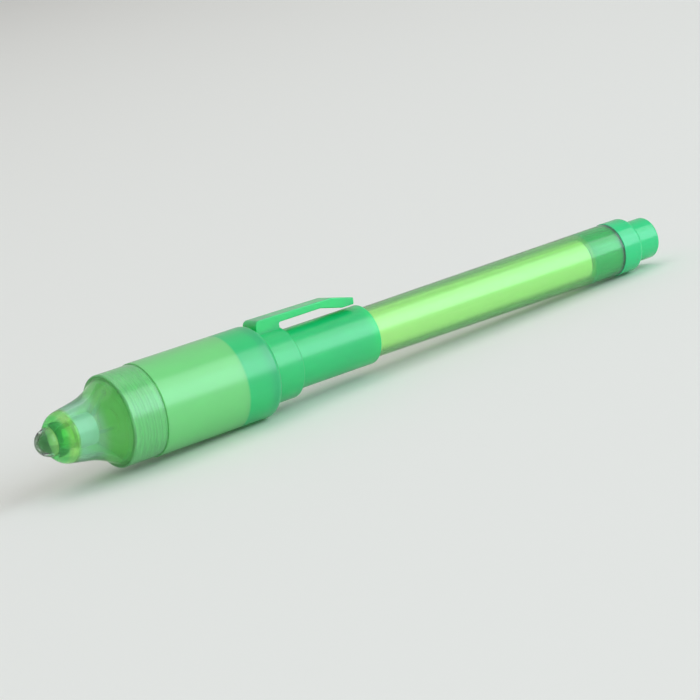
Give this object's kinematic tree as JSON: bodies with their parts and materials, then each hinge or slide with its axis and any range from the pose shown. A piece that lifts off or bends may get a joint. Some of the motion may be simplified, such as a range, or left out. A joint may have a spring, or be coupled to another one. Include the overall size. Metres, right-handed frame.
{
  "type": "invisible ink pen with ultraviolet lamp",
  "caption": "Capped fibre-tip pen with translucent barrel, pocket clip, and a push-button lamp under a screw-on nose at the cap's end.",
  "frame": {"origin": "on the pen's axis, at the seam where the screw-on nose's rear face meets the lamp head", "axes": "+X along the pen from the lamp to the tail, +Z towards the pocket clip, +Y to the side that has the button"},
  "size_m": [0.1395, 0.0175, 0.0172],
  "materials": {
    "translucent_green": "smooth translucent moulded plastic",
    "button_green": "smooth moulded plastic",
    "white_plastic": "moulded plastic",
    "cell_steel": "nickel plated",
    "spring_steel": "drawn wire",
    "tinned_steel": "tinned",
    "contact_brass": "stamped sheet",
    "clear_epoxy": "cast, polished",
    "chip": "smooth",
    "nib_fibre": "pressed fibre",
    "reservoir_fibre": "bonded fibre",
    "clear_film": "thin film"
  },
  "bodies": {
    "cap": {"cap_shell": "translucent_green", "nib_seal": "translucent_green", "battery_holder": "white_plastic", "button_cell_front": "cell_steel", "button_cell_middle": "cell_steel", "button_cell_rear": "cell_steel", "battery_spring": "spring_steel", "contact_strip": "contact_brass"},
    "lamp": {"led_lens": "clear_epoxy", "led_anode_lead": "tinned_steel", "led_cathode_lead": "tinned_steel", "led_die": "chip", "led_spacer": "white_plastic", "contact_disc": "white_plastic", "centre_contact": "contact_brass", "contact_washer": "contact_brass"},
    "nose": {"nose_cone": "translucent_green"},
    "button": {"push_button": "button_green"},
    "leaf": {"switch_leaf": "contact_brass"},
    "pen": {"barrel_tube": "translucent_green", "nib_section": "translucent_green", "fibre_nib": "nib_fibre", "ink_reservoir": "reservoir_fibre", "reservoir_film": "clear_film", "tail_plug": "translucent_green"}
  },
  "joints": [
    {"name": "nose_travel", "type": "slide", "parent": "cap", "child": "lamp", "axis": [-1, 0, 0], "range_m": [0, 0.0048]},
    {"name": "nose_turn", "type": "hinge", "parent": "lamp", "child": "nose", "pos_m": [0, 0, 0], "axis": [-1, 0, 0], "range_deg": [0, 1441]},
    {"name": "button_press", "type": "slide", "parent": "cap", "child": "button", "axis": [0, -1, 0], "range_m": [0, 0.00038], "stiffness_N_per_m": 1500},
    {"name": "leaf_bend", "type": "hinge", "parent": "cap", "child": "leaf", "pos_m": [0.01202, 0.00703, 0], "axis": [0, 0, 1], "range_deg": [0, 3.3]},
    {"name": "pen_pull", "type": "slide", "parent": "cap", "child": "pen", "axis": [1, 0, 0], "range_m": [0, 0.03]}
  ],
  "couplings": [
    {"joint": "nose_turn", "follows": "nose_travel", "rad_per_m": 5236},
    {"joint": "leaf_bend", "follows": "button_press", "rad_per_m": 146}
  ]
}
